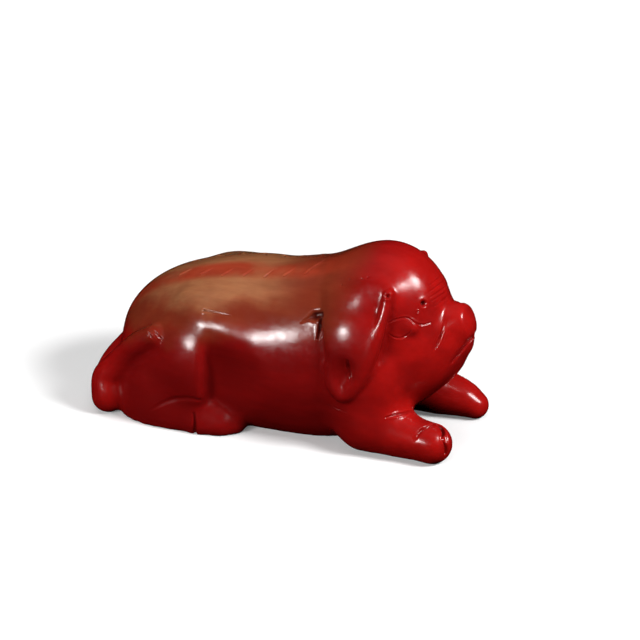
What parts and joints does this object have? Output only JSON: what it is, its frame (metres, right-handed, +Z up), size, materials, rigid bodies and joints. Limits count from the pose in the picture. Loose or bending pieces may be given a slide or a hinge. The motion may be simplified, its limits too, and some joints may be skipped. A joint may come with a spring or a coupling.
{
  "type": "coral pig carving",
  "caption": "Small polished red coral carving of a pig lying on its belly with its head raised, one solid piece that rests on its flat underside",
  "frame": {"origin": "on the surface the pig lies on, under the middle of its bounding box", "axes": "+X is the way the pig looks, +Y is its left side, +Z is up"},
  "size_m": [0.0706, 0.034, 0.0363],
  "materials": {
    "coral": "polished"
  },
  "bodies": {
    "root": {"pig": "coral"}
  },
  "joints": []
}
